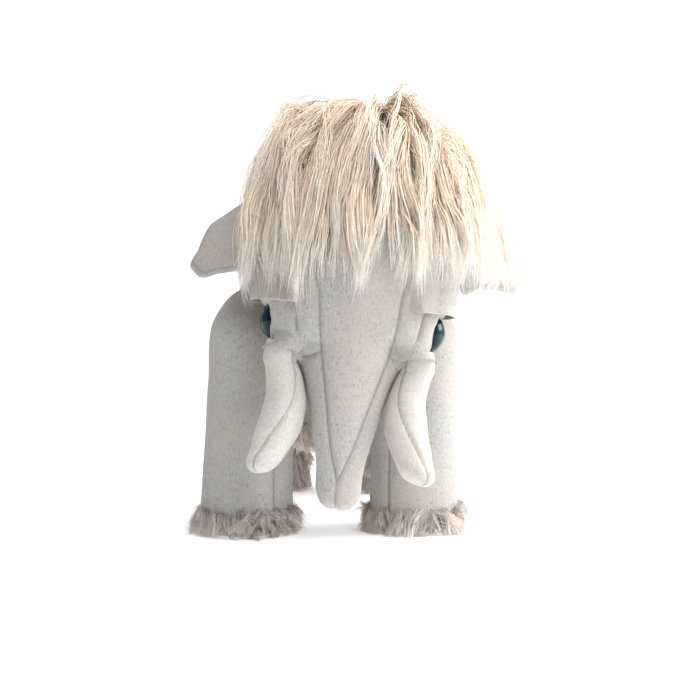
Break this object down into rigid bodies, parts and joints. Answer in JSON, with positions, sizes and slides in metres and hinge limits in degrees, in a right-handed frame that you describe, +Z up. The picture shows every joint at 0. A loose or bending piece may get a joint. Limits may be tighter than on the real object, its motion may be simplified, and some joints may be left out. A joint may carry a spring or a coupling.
{
  "type": "plush elephant",
  "caption": "Floor-standing woolly elephant plush in woven linen with stuffed tusks and trunk, flat ears, glossy side eyes, a long cream mop and shaggy fur cuffs.",
  "frame": {"origin": "on the floor under the middle of the whole toy's box", "axes": "+Z up, -Y the way the toy faces, +X the toy's own left"},
  "size_m": [0.2611, 0.4675, 0.3379],
  "materials": {
    "body_linen": "pale grey linen weave with beige and blue flecks",
    "tusk_linen": "off-white linen weave",
    "mop_fur": "long cream faux fur",
    "trim_fur": "pinkish beige shaggy faux fur",
    "stuffing": "polyester fibre fill",
    "eye_gloss": "glossy dark teal safety eye",
    "washer_plastic": "white locking washer"
  },
  "bodies": {
    "torso": {"torso_stuffing": "stuffing", "torso_side_left": "body_linen", "torso_side_right": "body_linen", "belly_fur": "trim_fur"},
    "head": {"head_stuffing": "stuffing", "head_side_left": "body_linen", "head_side_right": "body_linen", "face_strip": "body_linen", "hair_mop": "mop_fur", "cheek_left": "body_linen", "cheek_right": "body_linen", "brow_left": "body_linen", "brow_right": "body_linen", "eye_left": "eye_gloss", "eye_right": "eye_gloss", "eye_washer_left": "washer_plastic", "eye_washer_right": "washer_plastic"},
    "trunk": {"trunk_stuffing": "stuffing", "trunk_side_left": "body_linen", "trunk_side_right": "body_linen", "trunk_front": "body_linen"},
    "tusk_left": {"tusk_left_stuffing": "stuffing", "tusk_left_outer": "tusk_linen", "tusk_left_inner": "tusk_linen"},
    "tusk_right": {"tusk_right_stuffing": "stuffing", "tusk_right_outer": "tusk_linen", "tusk_right_inner": "tusk_linen"},
    "ear_left": {"ear_left_front": "body_linen", "ear_left_back": "body_linen"},
    "ear_right": {"ear_right_front": "body_linen", "ear_right_back": "body_linen"},
    "tail": {"tail_core": "body_linen", "tail_tuft": "trim_fur"},
    "front_left_leg": {"front_left_stuffing": "stuffing", "front_left_outer": "body_linen", "front_left_inner": "body_linen", "front_left_sole": "body_linen", "front_left_cuff": "trim_fur"},
    "front_right_leg": {"front_right_stuffing": "stuffing", "front_right_outer": "body_linen", "front_right_inner": "body_linen", "front_right_sole": "body_linen", "front_right_cuff": "trim_fur"},
    "hind_left_leg": {"hind_left_stuffing": "stuffing", "hind_left_outer": "body_linen", "hind_left_inner": "body_linen", "hind_left_sole": "body_linen", "hind_left_cuff": "trim_fur"},
    "hind_right_leg": {"hind_right_stuffing": "stuffing", "hind_right_outer": "body_linen", "hind_right_inner": "body_linen", "hind_right_sole": "body_linen", "hind_right_cuff": "trim_fur"}
  },
  "joints": [
    {"name": "head_nod", "type": "hinge", "parent": "torso", "child": "head", "pos_m": [-0.0205, -0.0415, 0.185], "axis": [1, 0, 0], "range_deg": [-8, 5], "stiffness_Nm_per_rad": 8},
    {"name": "trunk_swing", "type": "hinge", "parent": "head", "child": "trunk", "pos_m": [-0.00842, -0.1875, 0.12808], "axis": [0.9962, 0, -0.0872], "range_deg": [-14, 9], "stiffness_Nm_per_rad": 0.4},
    {"name": "tusk_left_flex", "type": "hinge", "parent": "head", "child": "tusk_left", "pos_m": [0.04057, -0.1915, 0.12581], "axis": [0.9962, 0, -0.0872], "range_deg": [-6, 6], "stiffness_Nm_per_rad": 0.4},
    {"name": "tusk_right_flex", "type": "hinge", "parent": "head", "child": "tusk_right", "pos_m": [-0.05706, -0.1915, 0.13435], "axis": [0.9962, 0, -0.0872], "range_deg": [-6, 6], "stiffness_Nm_per_rad": 0.4},
    {"name": "ear_left_flap", "type": "hinge", "parent": "head", "child": "ear_left", "pos_m": [0.08253, -0.1295, 0.1924], "axis": [0, 0, 1], "range_deg": [-35, 25], "stiffness_Nm_per_rad": 0.05},
    {"name": "ear_right_flap", "type": "hinge", "parent": "head", "child": "ear_right", "pos_m": [-0.08682, -0.1295, 0.20722], "axis": [0.1736, 0, 0.9848], "range_deg": [-20, 40], "stiffness_Nm_per_rad": 0.05},
    {"name": "tail_swing", "type": "hinge", "parent": "torso", "child": "tail", "pos_m": [-0.0205, 0.2125, 0.165], "axis": [1, 0, 0], "range_deg": [-3, 40], "stiffness_Nm_per_rad": 0.05},
    {"name": "front_left_flex", "type": "hinge", "parent": "torso", "child": "front_left_leg", "pos_m": [0.0435, -0.1035, 0.15], "axis": [1, 0, 0], "range_deg": [-6, 6], "stiffness_Nm_per_rad": 10},
    {"name": "front_right_flex", "type": "hinge", "parent": "torso", "child": "front_right_leg", "pos_m": [-0.0845, -0.1155, 0.15], "axis": [1, 0, 0], "range_deg": [-6, 6], "stiffness_Nm_per_rad": 10},
    {"name": "hind_left_flex", "type": "hinge", "parent": "torso", "child": "hind_left_leg", "pos_m": [0.0375, 0.1405, 0.125], "axis": [1, 0, 0], "range_deg": [-6, 6], "stiffness_Nm_per_rad": 10},
    {"name": "hind_right_flex", "type": "hinge", "parent": "torso", "child": "hind_right_leg", "pos_m": [-0.0905, 0.1525, 0.125], "axis": [1, 0, 0], "range_deg": [-6, 6], "stiffness_Nm_per_rad": 10}
  ]
}
